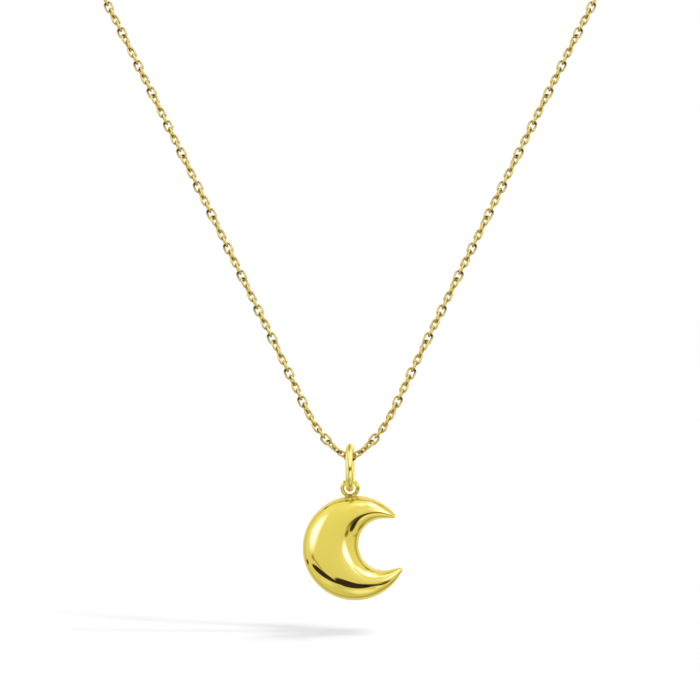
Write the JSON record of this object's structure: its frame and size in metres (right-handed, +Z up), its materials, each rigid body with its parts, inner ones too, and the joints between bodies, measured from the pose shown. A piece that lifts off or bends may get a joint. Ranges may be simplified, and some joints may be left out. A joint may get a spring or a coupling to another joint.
{
  "type": "moon pendant necklace",
  "caption": "Fine gold trace chain necklace with a puffed crescent moon that hangs from an oval bail, shown as worn.",
  "frame": {"origin": "mount neck: on the axis of the neck that the chain goes round, at the height where the chain lies on the neck's sides", "axes": "+Z up along the neck, -Y to the front where the moon hangs, +X to the right seen from the front"},
  "size_m": [0.1118, 0.1166, 0.1349],
  "materials": {
    "chain_gold": "polished",
    "clasp_gold": "polished",
    "bail_gold": "polished",
    "moon_gold": "mirror polished"
  },
  "bodies": {
    "necklace": {"chain": "chain_gold", "clasp": "clasp_gold"},
    "bail": {"bail": "bail_gold"},
    "moon": {"moon": "moon_gold"}
  },
  "joints": [
    {"name": "bail_swing", "type": "hinge", "parent": "necklace", "child": "bail", "pos_m": [0, -0.066, -0.104], "axis": [1, 0, 0], "range_deg": [-60, 60]},
    {"name": "moon_swing", "type": "hinge", "parent": "bail", "child": "moon", "pos_m": [0, -0.066, -0.10782], "axis": [0, 1, 0], "range_deg": [-60, 60]}
  ]
}
